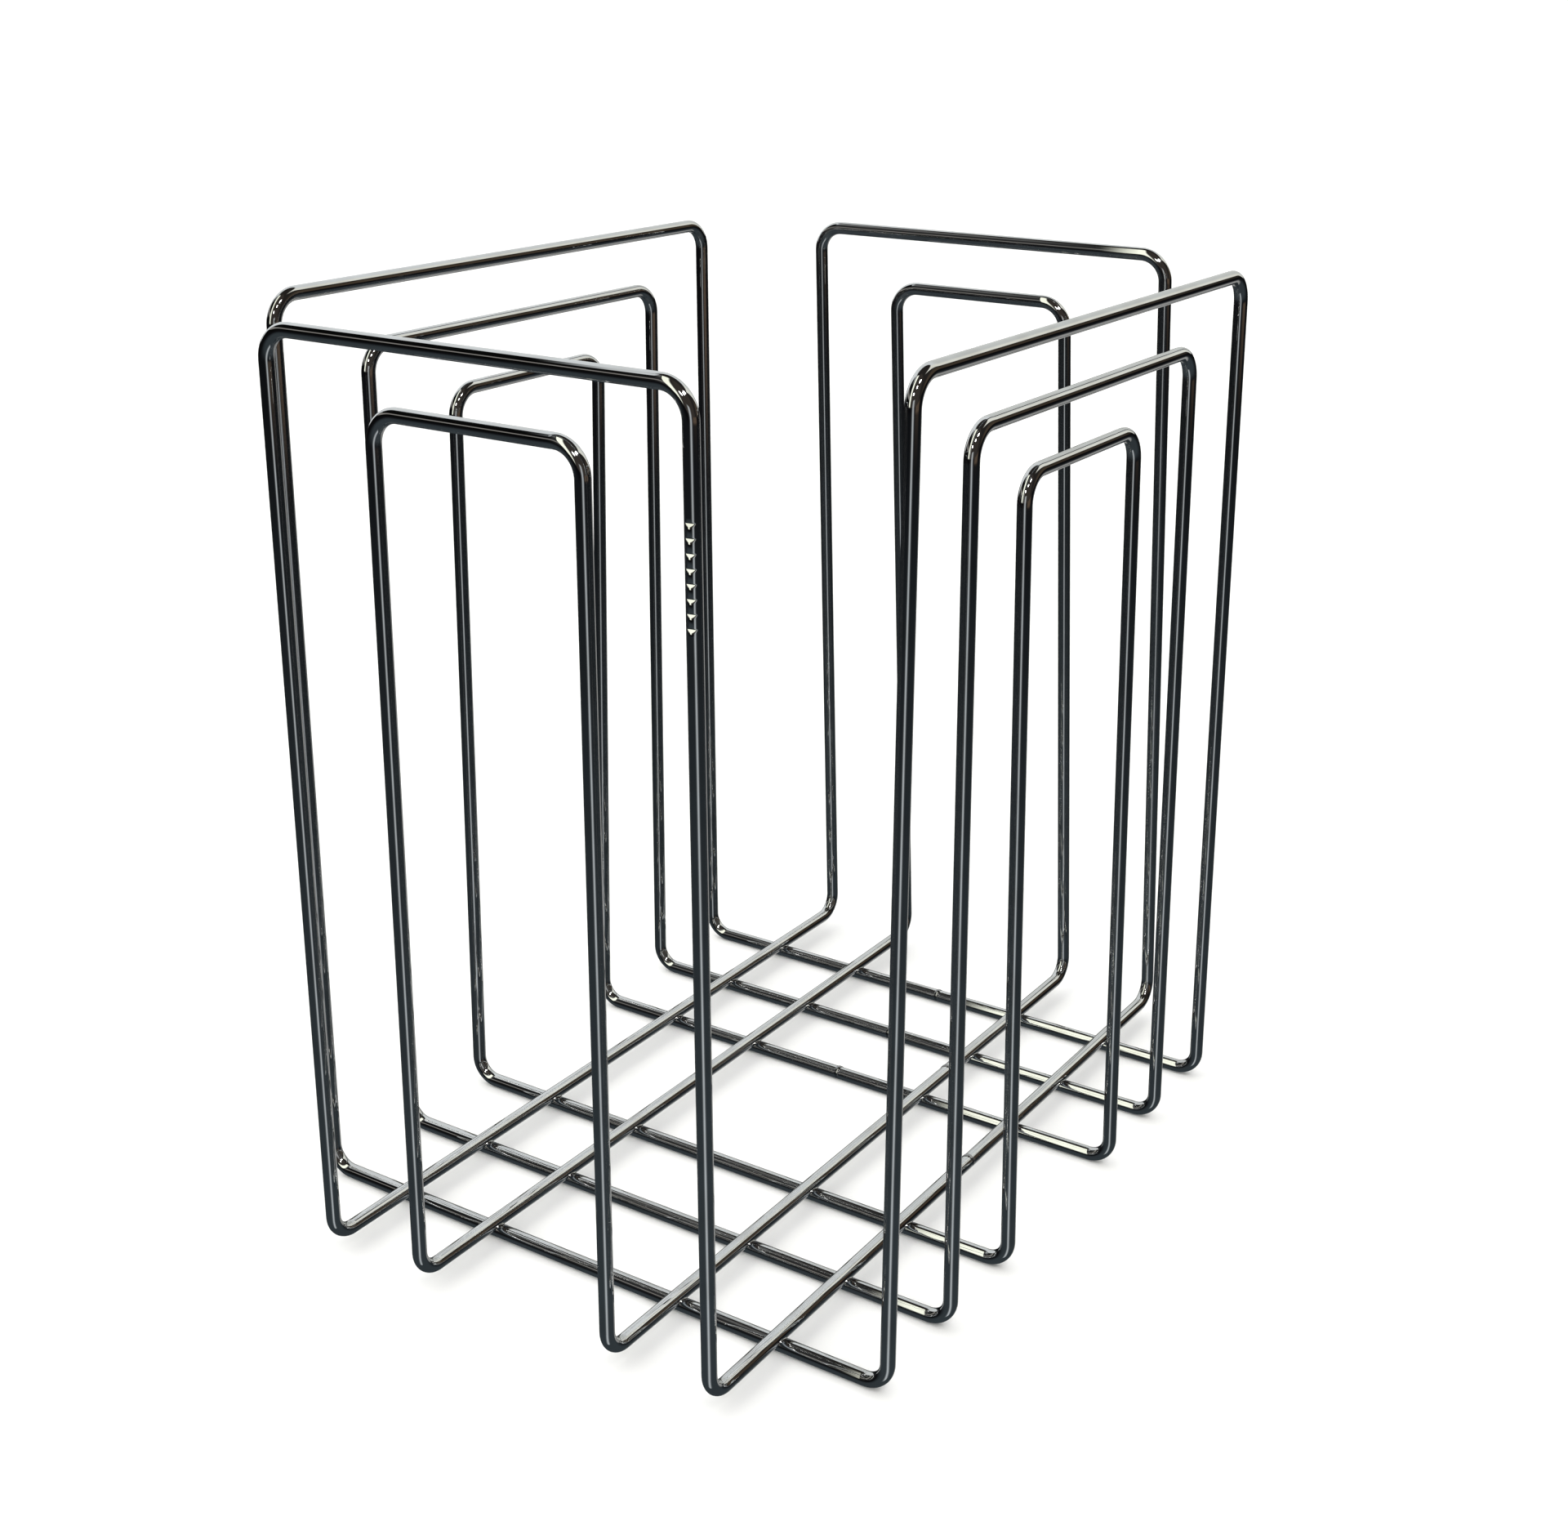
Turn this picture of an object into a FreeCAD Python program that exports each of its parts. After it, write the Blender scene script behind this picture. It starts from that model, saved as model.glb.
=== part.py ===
import FreeCAD, Part
import math
import os

os.makedirs("parts", exist_ok=True)
V = FreeCAD.Vector

# Magazine rack bent and welded from chrome-plated round wire. Millimetres, +Z up, long side along Y.
# The origin is the middle of the footprint, on the floor under the lowest wires.
WIRE = 5.0  # diameter of the wire
PITCH = 40.0  # one square grid sets the place of every wire
SIDE_ENDS = 3 * PITCH  # bottom runs along X turn up into the side walls at this X
END_ENDS = 4 * PITCH  # bottom runs along Y turn up into the end walls at this Y
TOP_OUTER = 325.5  # centre of the highest top bars above the floor
TOP_STEP = 22.0  # each arch nested inside another is this much lower
BEND_TOP = 10.0  # bend radii, at the centre of the wire
BEND_BOTTOM = 8.5
SET_DOWN = 0.2  # how far crossing wires sink into each other when they are welded
NUGGET_R, NUGGET_H, NUGGET_ROUND = 1.7, 0.8, 0.25  # resistance weld at one crossing
BEAD_R, BEAD_T, BEAD_ROUND = WIRE / 2 + 0.2, 1.0, 0.25  # butt weld that closes one loop

SIDE_RUN_Z = WIRE / 2  # runs along X lie on the floor
END_RUN_Z = SIDE_RUN_Z + WIRE - SET_DOWN  # runs along Y lie across them
SEAM_GAP = BEAD_T  # the weld bead fills the gap between the wire's two ends

# Every loop: half the distance between its two bottom runs, the height of its top bars, how far
# from the middle of its closing run the ends of its wire meet, and its two arches. An arch is
# given by how far it leans outwards at the top, and how far the tops of its two uprights lean in
# towards each other. Numbers along X or Y start on the negative side.
SIDE_LOOPS = {
    "side_loop_outer": (3 * PITCH, TOP_OUTER, 0.0, (2.0, 0.0, 0.0), (2.0, 2.5, 6.0)),
    "side_loop_middle": (2 * PITCH, TOP_OUTER - TOP_STEP, 0.0, (0.0, 0.0, -2.0), (0.0, 0.0, 4.0)),
    "side_loop_inner": (PITCH, TOP_OUTER - 2 * TOP_STEP, 0.0, (-3.0, 0.0, -3.0), (-3.0, 0.0, 1.0)),
}
END_LOOPS = {
    "end_loop_outer": (2 * PITCH, TOP_OUTER, 3.0, (3.0, 0.0, 0.0), (-17.0, 3.0, 1.0)),
    "end_loop_inner": (PITCH, TOP_OUTER - TOP_STEP, 57.0, (0.0, 0.0, 0.0), (-17.0, 0.0, 3.0)),
}


def corners(half_width, reach, run_z, top_z, low, high):
    """The eight corners of a loop whose runs lie along X, starting on the run that is closed last."""
    low_x, high_x = -reach - low[0], reach + high[0]
    return [
        V(reach, half_width, run_z),
        V(high_x, half_width - high[2], top_z),
        V(high_x, high[1] - half_width, top_z),
        V(reach, -half_width, run_z),
        V(-reach, -half_width, run_z),
        V(low_x, low[1] - half_width, top_z),
        V(low_x, half_width - low[2], top_z),
        V(-reach, half_width, run_z),
    ]


def bend(before, corner, after, radius):
    """The arc of a bend: where it starts, its middle and where it ends."""
    u, v = (before - corner).normalize(), (after - corner).normalize()
    half = u.getAngle(v) / 2
    tangent = radius / math.tan(half)
    inward = (u + v).normalize()
    middle = corner + inward * (radius / math.sin(half) - radius)
    return corner + u * tangent, middle, corner + v * tangent


def wire_solid(points, radii):
    """A round wire along straight runs and bends, open between its two ends."""
    edges, at = [], points[0]
    for i in range(1, len(points) - 1):
        start, middle, end = bend(points[i - 1], points[i], points[i + 1], radii[i - 1])
        edges += [Part.makeLine(at, start), Part.Arc(start, middle, end).toShape()]
        at = end
    edges.append(Part.makeLine(at, points[-1]))
    along = (points[1] - points[0]).normalize()
    profile = Part.Face(Part.Wire(Part.makeCircle(WIRE / 2, points[0], along)))
    return Part.Wire(edges).makePipe(profile)


def loop(half_width, reach, run_z, top_z, seam, low, high):
    """A loop along X, cut open on the run at +Y, where the bead goes."""
    path = [V(seam + SEAM_GAP / 2, half_width, run_z)]
    path += corners(half_width, reach, run_z, top_z, low, high)
    path.append(V(seam - SEAM_GAP / 2, half_width, run_z))
    bottom, top = BEND_BOTTOM, BEND_TOP
    return wire_solid(path, [bottom, top, top, bottom, bottom, top, top, bottom])


def rounded_disc(centre, axis, radius, thickness, rounding):
    """A short cylinder with a rounded rim, centred on a point."""
    disc = Part.makeCylinder(radius, thickness, centre - axis * (thickness / 2), axis)
    rims = [e for e in disc.Edges if len(e.Vertexes) == 1 and e.Curve.TypeId == "Part::GeomCircle"]
    return disc.makeFillet(rounding, rims)


# Wires. An end loop is a side loop turned a quarter, so that its runs lie along Y.
wires = {}
for name, (half_width, top_z, seam, low, high) in SIDE_LOOPS.items():
    wires[name] = loop(half_width, SIDE_ENDS, SIDE_RUN_Z, top_z, seam, low, high)
for name, (half_width, top_z, seam, front, back) in END_LOOPS.items():
    wires[name] = loop(half_width, END_ENDS, END_RUN_Z, top_z, -seam, back, front)
    wires[name].rotate(V(0, 0, 0), V(0, 0, 1), -90)

# Resistance welds: one nugget at each place where a run along Y lies across a run along X.
nuggets = []
weld_z = (SIDE_RUN_Z + END_RUN_Z) / 2
for row in (-3, -2, -1, 1, 2, 3):
    for column in (-2, -1, 1, 2):
        centre = V(column * PITCH, row * PITCH, weld_z)
        nuggets.append(rounded_disc(centre, V(0, 0, 1), NUGGET_R, NUGGET_H, NUGGET_ROUND))

# Butt welds: one bead in the gap of each loop, proud of the wire except underneath.
beads = []
proud = BEAD_R - WIRE / 2
for half_width, _, seam, _, _ in SIDE_LOOPS.values():
    centre = V(seam, half_width, SIDE_RUN_Z + proud)
    beads.append(rounded_disc(centre, V(1, 0, 0), BEAD_R, BEAD_T, BEAD_ROUND))
for half_width, _, seam, _, _ in END_LOOPS.values():
    centre = V(half_width, seam, END_RUN_Z + proud)
    beads.append(rounded_disc(centre, V(0, 1, 0), BEAD_R, BEAD_T, BEAD_ROUND))

nodes = {name: wire.cut(nuggets) for name, wire in wires.items()}
nodes["cross_welds"] = Part.makeCompound(nuggets)
nodes["butt_welds"] = Part.makeCompound(beads)

for name, shape in nodes.items():
    if len(shape.Solids) == 1:
        shape = shape.Solids[0]
    shape.exportStep("parts/" + name + ".step")
    box = shape.BoundBox
    print(
        "%-17s valid %s solids %2d faces %3d volume %8.1f  X %.2f %.2f  Y %.2f %.2f  Z %.2f %.2f"
        % (name, shape.isValid(), len(shape.Solids), len(shape.Faces), shape.Volume,
           box.XMin, box.XMax, box.YMin, box.YMax, box.ZMin, box.ZMax)
    )
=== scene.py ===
from math import cos, pi, radians, sin, sqrt, tan

import bmesh
import bpy
from mathutils import Matrix, Vector, noise


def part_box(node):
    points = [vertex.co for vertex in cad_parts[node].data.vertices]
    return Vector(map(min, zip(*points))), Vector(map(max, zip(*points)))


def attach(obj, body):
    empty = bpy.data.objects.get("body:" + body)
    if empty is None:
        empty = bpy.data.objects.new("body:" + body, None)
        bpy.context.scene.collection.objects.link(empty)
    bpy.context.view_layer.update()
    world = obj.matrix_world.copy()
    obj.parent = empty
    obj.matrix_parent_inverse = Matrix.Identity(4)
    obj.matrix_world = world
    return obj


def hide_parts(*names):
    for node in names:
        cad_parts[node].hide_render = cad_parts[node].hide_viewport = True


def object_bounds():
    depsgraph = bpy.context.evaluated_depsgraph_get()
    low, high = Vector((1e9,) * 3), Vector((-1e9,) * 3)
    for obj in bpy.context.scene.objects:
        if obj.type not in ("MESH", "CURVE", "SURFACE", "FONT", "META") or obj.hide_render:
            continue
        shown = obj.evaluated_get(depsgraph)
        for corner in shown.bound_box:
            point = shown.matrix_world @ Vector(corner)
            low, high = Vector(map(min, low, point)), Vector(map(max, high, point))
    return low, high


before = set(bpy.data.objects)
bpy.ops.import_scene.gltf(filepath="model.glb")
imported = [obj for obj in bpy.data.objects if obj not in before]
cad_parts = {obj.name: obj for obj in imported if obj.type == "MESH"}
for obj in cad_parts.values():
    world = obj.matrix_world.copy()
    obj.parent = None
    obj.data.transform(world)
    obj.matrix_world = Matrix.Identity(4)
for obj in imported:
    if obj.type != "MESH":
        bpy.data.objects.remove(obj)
cad_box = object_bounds()

# Side wires: three loops of round steel wire, each bent from one length into two runs on the floor
# and an arch at both ends. The arches nest inside each other and make the two side walls. A loop
# is cut off straight, bent over round dies, closed with a butt weld and chrome plated.
WIRE = 0.005
SIDES_OF_WIRE = 56
STEPS_OF_BEND = 20
HOLD = 0.0007  # the last bit of a straight before a bend has its own ring, so the shine stays even
TOP_BEND = 0.010  # radii at the middle of the wire
FLOOR_BEND = 0.0085
SEAM = 0.001  # left open between the two ends of a wire, for its weld
pitch = (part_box("side_loop_outer")[1].y - WIRE / 2) / 3  # every wire stands on one square grid
SIDE_REACH = 3 * pitch
# An arch is given by how far its top stands out past its feet, and how far the tops of its two
# uprights lean in towards each other. Each loop has its arch at -X first, then the one at +X.
SIDE_ARCHES = {
    "side_loop_outer": ((0.002, 0.0, 0.0), (0.002, 0.0025, 0.006)),
    "side_loop_middle": ((0.0, 0.0, -0.002), (0.0, 0.0, 0.004)),
    "side_loop_inner": ((-0.003, 0.0, -0.003), (-0.003, 0.0, 0.001)),
}


def loop_path(node, half_width, reach, seam, low_arch, high_arch):
    """The path of a loop whose runs lie along X, from one end of its wire round to the other."""
    low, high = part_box(node)
    floor_z, top_z = low.z + WIRE / 2, high.z - WIRE / 2
    path = [Vector((seam + SEAM / 2, half_width, floor_z))]
    for side, (lean, near, far) in ((1, high_arch), (-1, low_arch)):
        arch = [  # up the far upright and down the near one
            Vector((side * reach, half_width, floor_z)),
            Vector((side * (reach + lean), half_width - far, top_z)),
            Vector((side * (reach + lean), near - half_width, top_z)),
            Vector((side * reach, -half_width, floor_z)),
        ]
        path += arch[::side]  # the wire goes round the arch at -X the other way
    return [*path, Vector((seam - SEAM / 2, half_width, floor_z))]


def bent_wire(path):
    """A round wire drawn along its path: a straight is an extruded ring, a bend is a spun one."""
    mesh = bmesh.new()
    drawn = mesh.verts.layers.float_vector.new("drawn")  # place on the wire: across, across, along
    heading = (path[1] - path[0]).normalized()
    upright = Matrix.Translation(path[0]) @ heading.to_track_quat("Z", "Y").to_matrix().to_4x4()
    bmesh.ops.create_circle(
        mesh, cap_ends=True, radius=WIRE / 2, segments=SIDES_OF_WIRE, matrix=upright
    )
    ring = mesh.verts[:] + mesh.edges[:]
    cap_edges = mesh.edges[:]
    for vert in mesh.verts:
        vert[drawn] = upright.inverted() @ vert.co

    def note_place(first, length, rings):
        """Adds how far along the wire the new rings lie, for the material."""
        for count, vert in enumerate(mesh.verts[first:]):
            share = (count // SIDES_OF_WIRE + 1) / rings
            vert[drawn] = vert[drawn] + Vector((0, 0, length * share))

    def draw(ring, run):
        """Extrudes the ring along a straight run, and gives the new ring."""
        first = len(mesh.verts)
        edges = [part for part in ring if isinstance(part, bmesh.types.BMEdge)]
        grown = bmesh.ops.extrude_edge_only(mesh, edges=edges)["geom"]
        verts = [part for part in grown if isinstance(part, bmesh.types.BMVert)]
        new = set(verts)
        bmesh.ops.translate(mesh, verts=verts, vec=run)
        note_place(first, run.length, 1)
        rim = [
            edge for vert in verts for edge in vert.link_edges
            if edge.other_vert(vert) in new and vert is edge.verts[0]
        ]
        return verts + rim

    at = path[0]
    for before, corner, after in zip(path, path[1:], path[2:]):
        come, go = (corner - before).normalized(), (after - corner).normalized()
        turn = come.angle(go)
        radius = FLOOR_BEND if corner.z < pitch else TOP_BEND
        start = corner - come * radius * tan(turn / 2)
        for run in (come * HOLD, start - at - 2 * come * HOLD, come * HOLD):
            ring = draw(ring, run)
        inward = (go - come * go.dot(come)).normalized()
        first = len(mesh.verts)
        ring = bmesh.ops.spin(
            mesh, geom=ring, cent=start + inward * radius, axis=come.cross(inward), dvec=(0, 0, 0),
            angle=turn, steps=STEPS_OF_BEND, use_merge=False, use_duplicate=False,
        )["geom_last"]
        note_place(first, radius * turn, STEPS_OF_BEND)
        at = corner + go * radius * tan(turn / 2)
    last = (path[-1] - at).normalized()
    for run in (last * HOLD, path[-1] - at - last * HOLD):
        ring = draw(ring, run)
    closing = [part for part in ring if isinstance(part, bmesh.types.BMEdge)]
    bmesh.ops.contextual_create(mesh, geom=closing)
    bmesh.ops.recalc_face_normals(mesh, faces=mesh.faces[:])
    for face in mesh.faces:
        face.smooth = len(face.verts) == 4
    for edge in cap_edges + closing:
        edge.smooth = False
    return mesh


class Shade:
    """A socket of a node tree. Plain maths on it adds Math nodes, and add() adds any other node."""

    def __init__(self, tree, socket=None):
        self.tree = tree
        self.socket = socket

    def add(self, kind, settings=None, inputs=None, output=0):
        node = self.tree.nodes.new(kind)
        for name, value in (settings or {}).items():
            setattr(node, name, value)
        for name, value in (inputs or {}).items():
            if isinstance(value, Shade):
                self.tree.links.new(value.socket, node.inputs[name])
            else:
                node.inputs[name].default_value = value
        return Shade(self.tree, node.outputs[output] if node.outputs else None)

    def math(self, operation, first, second=0.0, third=0.0):
        inputs = {0: first, 1: second, 2: third}
        return self.add("ShaderNodeMath", {"operation": operation}, inputs)

    def __add__(self, other):
        return self.math("ADD", self, other)

    __radd__ = __add__

    def __sub__(self, other):
        return self.math("SUBTRACT", self, other)

    def __rsub__(self, other):
        return self.math("SUBTRACT", other, self)

    def __mul__(self, other):
        return self.math("MULTIPLY", self, other)

    __rmul__ = __mul__

    def __truediv__(self, other):
        return self.math("DIVIDE", self, other)

    def step(self, low, high):
        """0 below low, 1 above high and a soft rise between them."""
        return self.add(
            "ShaderNodeMapRange",
            {"interpolation_type": "SMOOTHSTEP"},
            {"Value": self, "From Min": low, "From Max": high},
        )

    def blend(self, first, second):
        """A colour that goes from first to second as this value goes from 0 to 1."""
        inputs = {"Factor": self, 6: first, 7: second}
        return self.add("ShaderNodeMix", {"data_type": "RGBA"}, inputs, output=2)


def new_material(name):
    """An empty material, and its node tree to build on."""
    material = bpy.data.materials.new(name)
    material.use_nodes = True
    material.node_tree.nodes.clear()
    return material, Shade(material.node_tree)


CLOUD_SCALE = 60.0
STREAK_SCALE = 420.0
STREAK_STRETCH = 0.07  # how fast the ripples from drawing change along the wire, against across


def chrome(name, bright, dull, roughness, ripple, drawn):
    """Chrome plate: a mirror with faint clouds and haze, and long ripples on drawn wire."""
    material, tree = new_material(name)
    if drawn:
        place = tree.add("ShaderNodeAttribute", {"attribute_name": "drawn"}, output="Vector")
    else:
        place = tree.add("ShaderNodeTexCoord", output="Object")
    stretch = (1.0, 1.0, STREAK_STRETCH if drawn else 1.0)
    stretched = tree.add("ShaderNodeVectorMath", {"operation": "MULTIPLY"}, {0: place, 1: stretch})
    clouds = tree.add(
        "ShaderNodeTexNoise", None, {"Vector": place, "Scale": CLOUD_SCALE, "Detail": 4.0}
    )
    streaks = tree.add(
        "ShaderNodeTexNoise", None, {"Vector": stretched, "Scale": STREAK_SCALE, "Detail": 1.0}
    )
    bump = tree.add(
        "ShaderNodeBump", None, {"Strength": 1.0, "Distance": ripple, "Height": streaks}
    )
    shader = tree.add(
        "ShaderNodeBsdfPrincipled",
        None,
        {
            "Base Color": clouds.step(0.35, 0.75).blend((*bright, 1.0), (*dull, 1.0)),
            "Metallic": 1.0,
            "Roughness": roughness + streaks.step(0.5, 0.8) * roughness,
            "Normal": bump,
        },
    )
    tree.add("ShaderNodeOutputMaterial", None, {"Surface": shader})
    return material


wire_chrome = chrome(
    "wire_chrome",
    bright=(0.65, 0.66, 0.67),
    dull=(0.58, 0.58, 0.58),
    roughness=0.014,
    ripple=0.000003,
    drawn=True,
)


def finish_piece(name, mesh, material, node):
    """Turns the modelled mesh into a piece that stands for its CAD node."""
    data = bpy.data.meshes.new(name)
    mesh.to_mesh(data)
    mesh.free()
    data.materials.append(material)
    piece = bpy.data.objects.new(name, data)
    bpy.context.scene.collection.objects.link(piece)
    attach(piece, "root")
    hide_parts(node)


for node, (left_arch, right_arch) in SIDE_ARCHES.items():
    low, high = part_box(node)
    half_width = round((high.y - low.y - WIRE) / 2 / pitch) * pitch
    wire = bent_wire(loop_path(node, half_width, SIDE_REACH, 0.0, left_arch, right_arch))
    finish_piece(node.replace("loop", "wire"), wire, wire_chrome, node)

# End wires: two loops of the same wire, laid across the side wires. Their arches make the end
# walls: the two at the front stand nearly straight and the two at the back lean in. The outer
# one has a row of plain nicks pressed into the outside of its front upright.
END_REACH = 4 * pitch
END_ARCHES = {  # the arch at the front, then the one at the back
    "end_loop_outer": ((0.003, 0.0, 0.0), (-0.017, 0.003, 0.001)),
    "end_loop_inner": ((0.0, 0.0, 0.0), (-0.017, 0.0, 0.003)),
}
END_SEAMS = {"end_loop_outer": 0.003, "end_loop_inner": 0.057}  # where along its right-hand run
NICKS = 8
NICK_LOWEST = 0.2577
NICK_SPACING = 0.0043
NICK_DEPTH = 0.0006
NICK_FACING = -80  # degrees from +X towards +Y, square to the flat floor of a nick
NICK_PROFILE = (  # height above the bottom of the nick, and the share of its depth reached there
    (-0.00095, 0.0),
    (-0.00072, 0.25),
    (-0.00048, 0.5),
    (-0.00024, 0.75),
    (0.0, 1.0),
    (0.00008, 1.0),
    (0.00022, 0.6),
    (0.00036, 0.25),
    (0.00050, 0.0),
)
NICK_MARGIN = 0.0010  # plain rings this far outside the row keep the rest of the upright straight


def press_nicks(mesh, half_width):
    """Presses a row of short flat nicks into the outside of the upright at the front right."""
    upright = [
        face for face in mesh.faces
        if min(v.co.x for v in face.verts) > half_width - WIRE
        and max(v.co.y for v in face.verts) < WIRE - END_REACH
        and max(v.co.z for v in face.verts) - min(v.co.z for v in face.verts) > pitch
    ]
    part = {vert for face in upright for vert in face.verts}
    part = [*part, *{edge for face in upright for edge in face.edges}, *upright]
    middles = [NICK_LOWEST + count * NICK_SPACING for count in range(NICKS)]
    levels = [(middle + height, share) for middle in middles for height, share in NICK_PROFILE]
    lowest, highest = levels[0][0] - NICK_MARGIN, levels[-1][0] + NICK_MARGIN
    outward = Vector((cos(radians(NICK_FACING)), sin(radians(NICK_FACING)), 0))
    rings = []
    for z, share in [(lowest, 0.0), *levels, (highest, 0.0)]:
        cut = bmesh.ops.bisect_plane(mesh, geom=part, plane_co=(0, 0, z), plane_no=(0, 0, 1))
        part = cut["geom"]
        if share > 0:
            ring = [vert for vert in cut["geom_cut"] if isinstance(vert, bmesh.types.BMVert)]
            rings.append((share, ring))
    for share, ring in rings:
        centre = sum((vert.co for vert in ring), Vector()) / len(ring)
        flat = WIRE / 2 - share * NICK_DEPTH
        for vert in ring:
            vert.co -= outward * max(0.0, outward.dot(vert.co - centre) - flat)


quarter_turn = Matrix.Rotation(-pi / 2, 3, "Z")  # from runs along X to runs along Y
for node, (front_arch, back_arch) in END_ARCHES.items():
    low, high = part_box(node)
    half_width = (high.x - low.x - WIRE) / 2
    path = loop_path(node, half_width, END_REACH, -END_SEAMS[node], back_arch, front_arch)
    wire = bent_wire([quarter_turn @ point for point in path])
    if node == "end_loop_outer":
        press_nicks(wire, half_width)
    finish_piece(node.replace("loop", "wire"), wire, wire_chrome, node)

# Cross welds: where an end wire lies across a side wire, the two are pressed together and
# resistance welded. A small flat nugget of squeezed metal shows between them, plated over.
weld_low, weld_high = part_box("cross_welds")
NUGGET_HEIGHT = 0.0012
NUGGET_ROUGH = 0.00006  # how far its squeezed skin strays from a smooth one
nugget_radius = weld_high.x - 2 * pitch
weld_chrome = chrome(
    "weld_chrome",
    bright=(0.42, 0.42, 0.43),
    dull=(0.26, 0.26, 0.26),
    roughness=0.06,
    ripple=0.00003,
    drawn=False,
)

welds = bmesh.new()
for row in (-3, -2, -1, 1, 2, 3):
    for column in (-2, -1, 1, 2):
        place = Vector((column * pitch, row * pitch, (weld_low.z + weld_high.z) / 2))
        nugget = bmesh.ops.create_uvsphere(
            welds, u_segments=28, v_segments=14, radius=nugget_radius - NUGGET_ROUGH
        )["verts"]
        bmesh.ops.scale(welds, vec=(1, 1, NUGGET_HEIGHT / (2 * nugget_radius)), verts=nugget)
        for vert in nugget:
            lump = noise.noise(vert.co * 900 + place * 300)  # no two nuggets have the same lumps
            vert.co += vert.co.normalized() * NUGGET_ROUGH * lump
        bmesh.ops.translate(welds, vec=place, verts=nugget)
for face in welds.faces:
    face.smooth = True
finish_piece("cross_weld_nuggets", welds, weld_chrome, "cross_welds")

# Butt welds: the two ends of each loop meet on a floor run and are welded end to end. The upset
# metal stands round the wire as a thin ring, ground flush underneath.
BEAD_RINGS = (-0.0009, -0.0006, -0.0003, 0.0, 0.0003, 0.0006, 0.0009)  # along the wire
BEAD_ROUGH = 0.00004
BEAD_SEGMENTS = 48
bead_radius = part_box("butt_welds")[1].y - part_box("side_loop_outer")[1].y + WIRE / 2


def bead(mesh, centre, along):
    """One ring of upset metal, drawn as rings that swell and shrink along the wire."""
    turned = Vector(along).to_track_quat("Z", "Y").to_matrix().to_4x4()
    rings = []
    for offset in BEAD_RINGS:
        swell = sqrt(max(0.0, cos(offset / BEAD_RINGS[-1] * pi / 2)))
        ring = bmesh.ops.create_circle(
            mesh,
            cap_ends=abs(offset) == BEAD_RINGS[-1],
            radius=WIRE / 2 - BEAD_ROUGH + (bead_radius - WIRE / 2) * swell,
            segments=BEAD_SEGMENTS,
            matrix=Matrix.Translation(centre) @ turned @ Matrix.Translation((0, 0, offset)),
        )
        rings.append(ring["verts"])
    for first, second in zip(rings, rings[1:]):
        edges = [
            edge for ring in (first, second) for vert in ring for edge in vert.link_edges
            if edge.other_vert(vert) in ring and vert is edge.verts[0]
        ]
        bmesh.ops.bridge_loops(mesh, edges=edges)
    for vert in (vert for ring in rings[1:-1] for vert in ring):
        outward = vert.co - Vector(centre)
        vert.co -= outward.normalized() * BEAD_ROUGH * (1 + noise.noise(vert.co * 1500))


beads = bmesh.new()
for count, node in enumerate(SIDE_ARCHES):
    run_y = (3 - count) * pitch
    bead(beads, centre=(0, run_y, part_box(node)[0].z + bead_radius), along=(1, 0, 0))
for node, seam_y in END_SEAMS.items():
    low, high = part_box(node)
    bead(beads, centre=(high.x - WIRE / 2, seam_y, low.z + bead_radius), along=(0, 1, 0))
bmesh.ops.recalc_face_normals(beads, faces=beads.faces[:])
for face in beads.faces:
    face.smooth = len(face.verts) == 4
finish_piece("butt_weld_beads", beads, weld_chrome, "butt_welds")

# Studio: a plain pale floor, and a camera that looks down on the front right corner.
EYE = Vector((0.41791, -0.62098, 0.43718))
HEADING, PITCH_DOWN, ROLL = 32.256, 16.885, 0.439  # degrees
camera_data = bpy.data.cameras.new("camera")
camera_data.lens = 49.762
camera_data.sensor_width = 36.0
camera_data.shift_x = -0.0385
camera_data.shift_y = -0.1052
camera_data.clip_start = 0.01
camera = bpy.data.objects.new("camera", camera_data)
bpy.context.scene.collection.objects.link(camera)
aim = Matrix.Rotation(radians(HEADING), 4, "Z") @ Matrix.Rotation(radians(90 - PITCH_DOWN), 4, "X")
camera.matrix_world = Matrix.Translation(EYE) @ aim @ Matrix.Rotation(radians(ROLL), 4, "Z")
bpy.context.scene.camera = camera

FLOOR_SIZE = 40.0  # half of its side: its edge is out of sight from every angle
floor_mesh = bmesh.new()
bmesh.ops.create_grid(floor_mesh, x_segments=1, y_segments=1, size=FLOOR_SIZE)
bmesh.ops.translate(floor_mesh, verts=floor_mesh.verts[:], vec=(0, 0, cad_box[0].z))
floor_data = bpy.data.meshes.new("floor")
floor_mesh.to_mesh(floor_data)
floor_mesh.free()
floor_paint, tree = new_material("floor_paint")
grain = tree.add("ShaderNodeTexNoise", None, {"Scale": 30.0, "Detail": 3.0})
tone = grain.blend((0.93, 0.93, 0.93, 1), (0.95, 0.95, 0.95, 1))
paint = tree.add("ShaderNodeBsdfDiffuse", None, {"Color": tone})
tree.add("ShaderNodeOutputMaterial", None, {"Surface": paint})
floor_data.materials.append(floor_paint)
floor = bpy.data.objects.new("floor", floor_data)
bpy.context.scene.collection.objects.link(floor)
floor.visible_glossy = False  # the plate mirrors the dim room round the rack, not the pale floor
floor.visible_shadow = False

# Light: broad daylight from above that only the floor shows, small lamps above the camera for the
# sparkle in the bends, and a soft grey card by the camera that draws the stripe on the uprights.
middle = (cad_box[0] + cad_box[1]) / 2


def direction(azimuth, elevation):
    """Unit vector at an azimuth from +X towards +Y, and an elevation, in degrees."""
    a, e = radians(azimuth), radians(elevation)
    return Vector((cos(a) * cos(e), sin(a) * cos(e), sin(e)))


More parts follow.
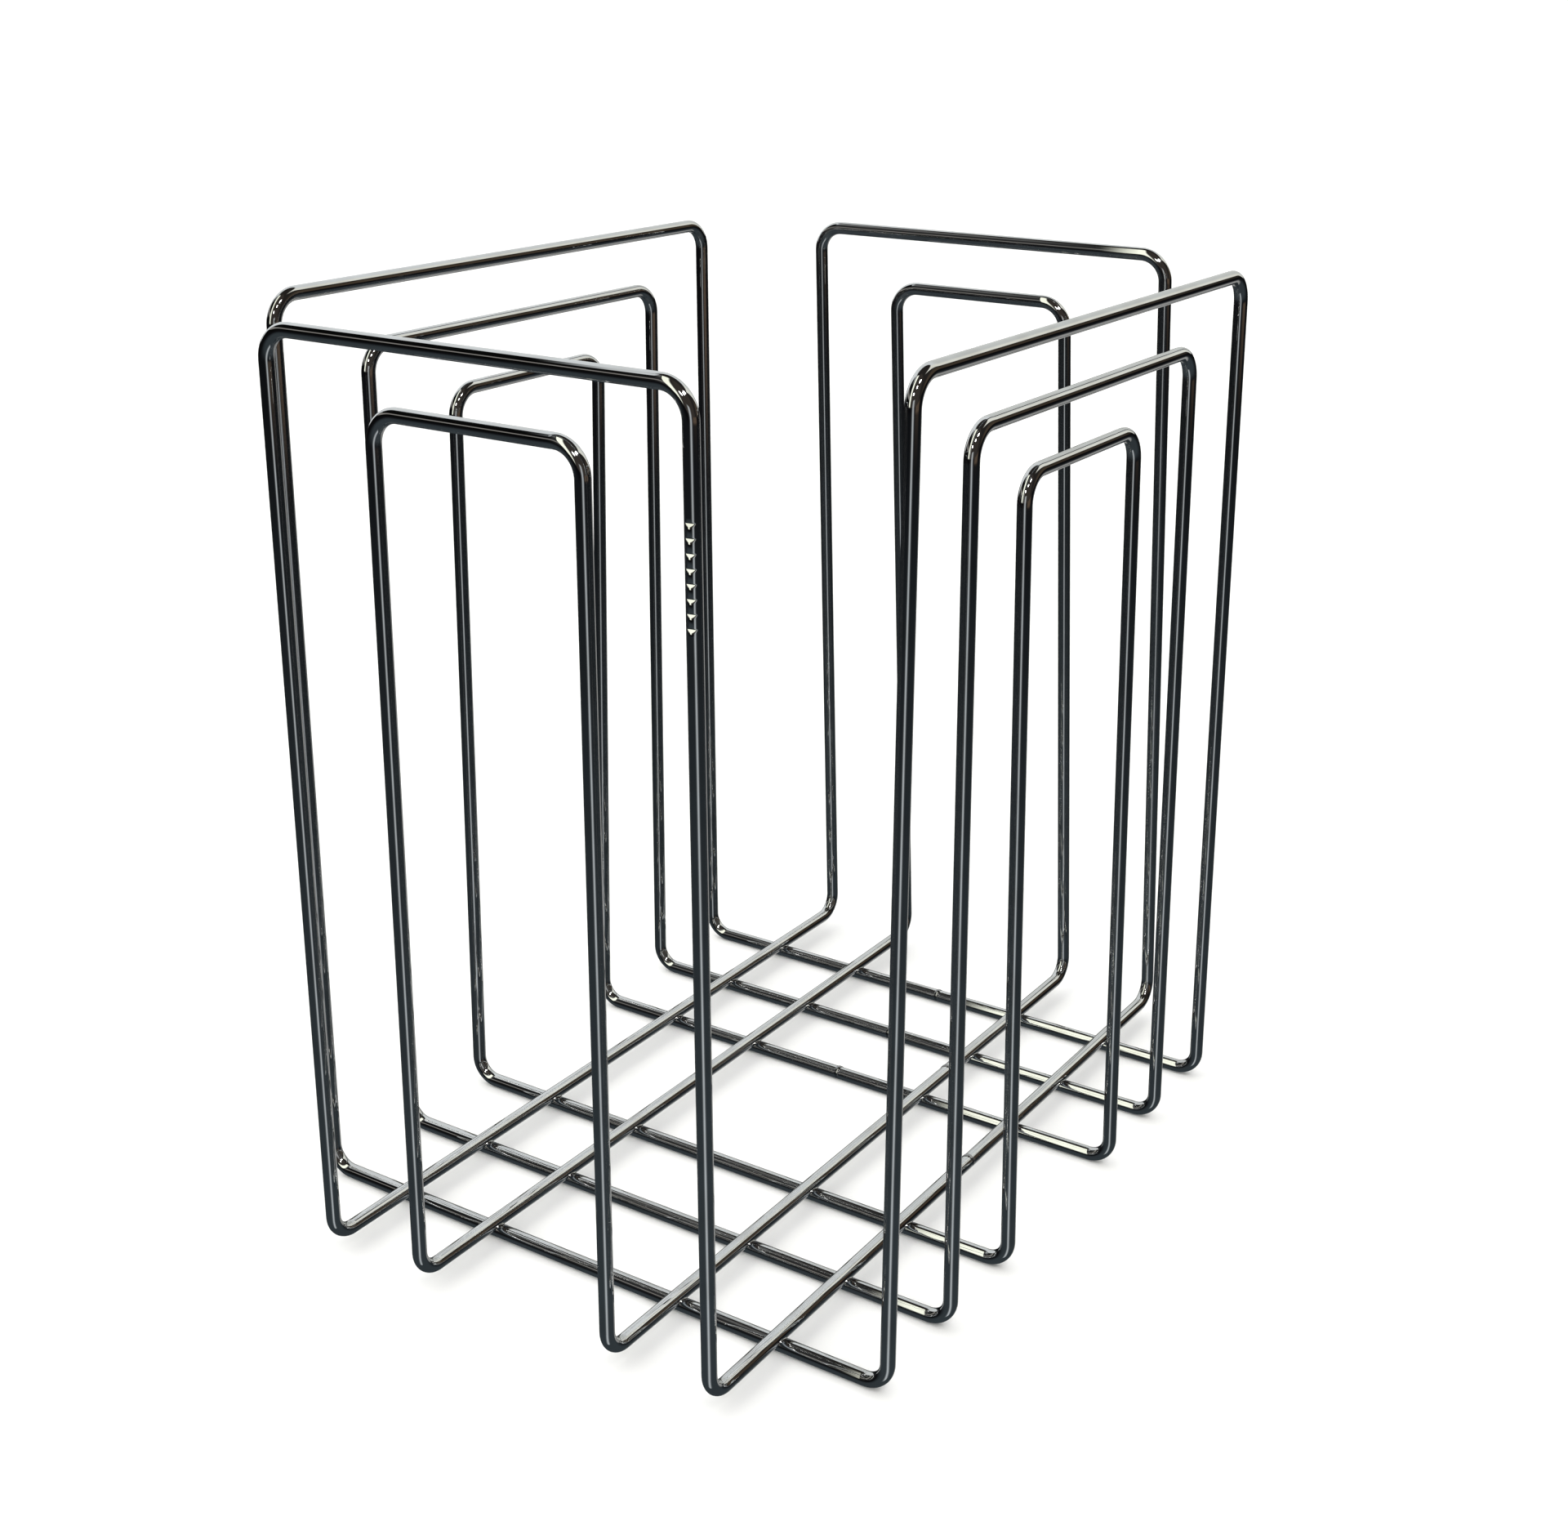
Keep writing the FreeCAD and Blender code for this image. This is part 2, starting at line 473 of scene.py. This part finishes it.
def lamp(name, kind, away, distance):
    """A lamp that faces the rack from a direction, out of the camera's sight."""
    light = bpy.data.lights.new(name, kind)
    holder = bpy.data.objects.new(name, light)
    bpy.context.scene.collection.objects.link(holder)
    turned = away.to_track_quat("Z", "Y").to_matrix().to_4x4()
    holder.matrix_world = Matrix.Translation(middle + away * distance) @ turned
    holder.visible_camera = False
    return light, holder


def panel(name, azimuth, elevation, distance, width, height, radiance, colour):
    """A soft rectangular lamp, as bright as its radiance where the mirror finish shows it."""
    light, holder = lamp(name, "AREA", direction(azimuth, elevation), distance)
    light.shape = "RECTANGLE"
    light.size, light.size_y = width, height
    light.energy = radiance * pi * width * height
    light.color = colour


daylight, sun = lamp("daylight", "SUN", direction(-120, 68), 3.0)
daylight.energy = 3.1
daylight.angle = radians(130)
sun.visible_glossy = False
panel("lamp_left", -74, 34, 2.2, 0.30, 0.22, 12.0, (1.0, 0.98, 0.95))
panel("lamp_middle", -48, 46, 2.2, 0.26, 0.22, 12.0, (1.0, 0.98, 0.95))
panel("lamp_right", -26, 54, 2.2, 0.36, 0.24, 12.0, (1.0, 0.98, 0.95))
panel("grey_card", -56, -20, 0.85, 0.58, 1.5, 0.04, (0.93, 0.98, 1.0))
panel("grey_card_middle", -56, -20, 0.84, 0.36, 1.5, 0.17, (0.93, 0.98, 1.0))
panel("grey_card_core", -56, -20, 0.83, 0.20, 1.5, 0.34, (0.93, 0.98, 1.0))

# Room: only the plating shows it. A pale wall stands far off on the left and behind, a cream
# window on the near left, and the rest is dim. The camera itself sees plain white.
world = bpy.data.worlds.new("room")
bpy.context.scene.world = world
world.use_nodes = True
world.node_tree.nodes.clear()
tree = Shade(world.node_tree)
toward = tree.add("ShaderNodeTexCoord", output="Generated")
right = tree.add("ShaderNodeSeparateXYZ", None, {"Vector": toward}, output="X")
back = tree.add("ShaderNodeSeparateXYZ", None, {"Vector": toward}, output="Y")
up = tree.add("ShaderNodeSeparateXYZ", None, {"Vector": toward}, output="Z")


def near_to(azimuth, elevation):
    """1 straight towards a direction, falling off as the cosine of the angle away from it."""
    return tree.add(
        "ShaderNodeVectorMath", {"operation": "DOT_PRODUCT"},
        {0: toward, 1: direction(azimuth, elevation)}, output="Value",
    )


# Below the horizon: near black, a little lighter straight down, with a warm glow at the right and
# a patch of pale floor behind.
ground = (0 - up).step(0.12, 0.62).blend((0.005, 0.005, 0.006, 1), (0.044, 0.055, 0.062, 1))
glow = near_to(-5, -6).step(0.86, 0.97) * up.step(-0.24, -0.15)
ground = glow.blend(ground, (0.12, 0.085, 0.06, 1))
ground = near_to(97, -30).step(0.88, 0.96).blend(ground, (0.38, 0.38, 0.37, 1))

# Walls at the back, brown towards one corner.
far_wall = near_to(45, 5).step(0.90, 0.99).blend((0.025, 0.022, 0.020, 1), (0.075, 0.055, 0.038, 1))

# Wall at the front: a dark shelf, a strip of grey ceiling over it and a band of light along it.
dim = right.step(-0.64, -0.52)
strip = dim * (1 - right.step(-0.48, -0.42))
ceiling = strip.blend((0.012, 0.012, 0.012, 1), (0.16, 0.16, 0.155, 1))
shelf = dim.blend((0.004, 0.004, 0.004, 1), (0.035, 0.035, 0.035, 1))
near_wall = up.step(0.72, 0.82).blend(shelf, ceiling)
light_band = up.step(0.24, 0.28) * (1 - up.step(0.38, 0.42))
near_wall = light_band.blend(near_wall, (0.30, 0.285, 0.26, 1))
near_wall = right.step(-0.3, 0.1).blend(near_wall, (0.05, 0.042, 0.036, 1))
walls = (0 - back).step(-0.05, 0.05).blend(far_wall, near_wall)
room = up.step(-0.03, 0.03).blend(ground, walls)

# Pale wall: it fills the back above the horizon, up to the ceiling and as far as a slanting corner,
# and comes a little way round on the left. It is warmest and brightest at the right.
pale = back.step(0.66, 0.88).blend((0.90, 0.93, 0.93, 1), (0.74, 0.76, 0.73, 1))
pale = right.step(0.05, 0.30).blend(pale, (1.02, 1.01, 0.90, 1))
past_corner = (back * 0.19 - right * 0.816 + up * 0.546).step(-0.01, 0.03)
below_ceiling = 1 - up.step(0.785, 0.815)
far_left = (back * 0.3 - right).step(0.50, 0.52) * (1 - (0 - right).step(0.60, 0.64))
behind = back.step(-0.02, 0.04)
pale_wall = behind * below_ceiling + (1 - behind) * far_left
room = (pale_wall * past_corner * up.step(-0.02, 0.02)).blend(room, pale)

# Cream window at the front left.
window = right.step(-0.43, -0.41) * (1 - right.step(-0.22, -0.12)) * (0 - back).step(0.08, 0.13)
room = (window * up.step(-0.02, 0.05)).blend(room, (1.55, 1.57, 1.32, 1))

camera_ray = tree.add("ShaderNodeLightPath", output="Is Camera Ray")
seen = camera_ray.blend(room, (1.0, 1.0, 1.0, 1))
light = tree.add("ShaderNodeBackground", None, {"Color": seen, "Strength": 1.0})
tree.add("ShaderNodeOutputWorld", None, {"Surface": light})
bpy.context.scene.view_settings.view_transform = "Standard"
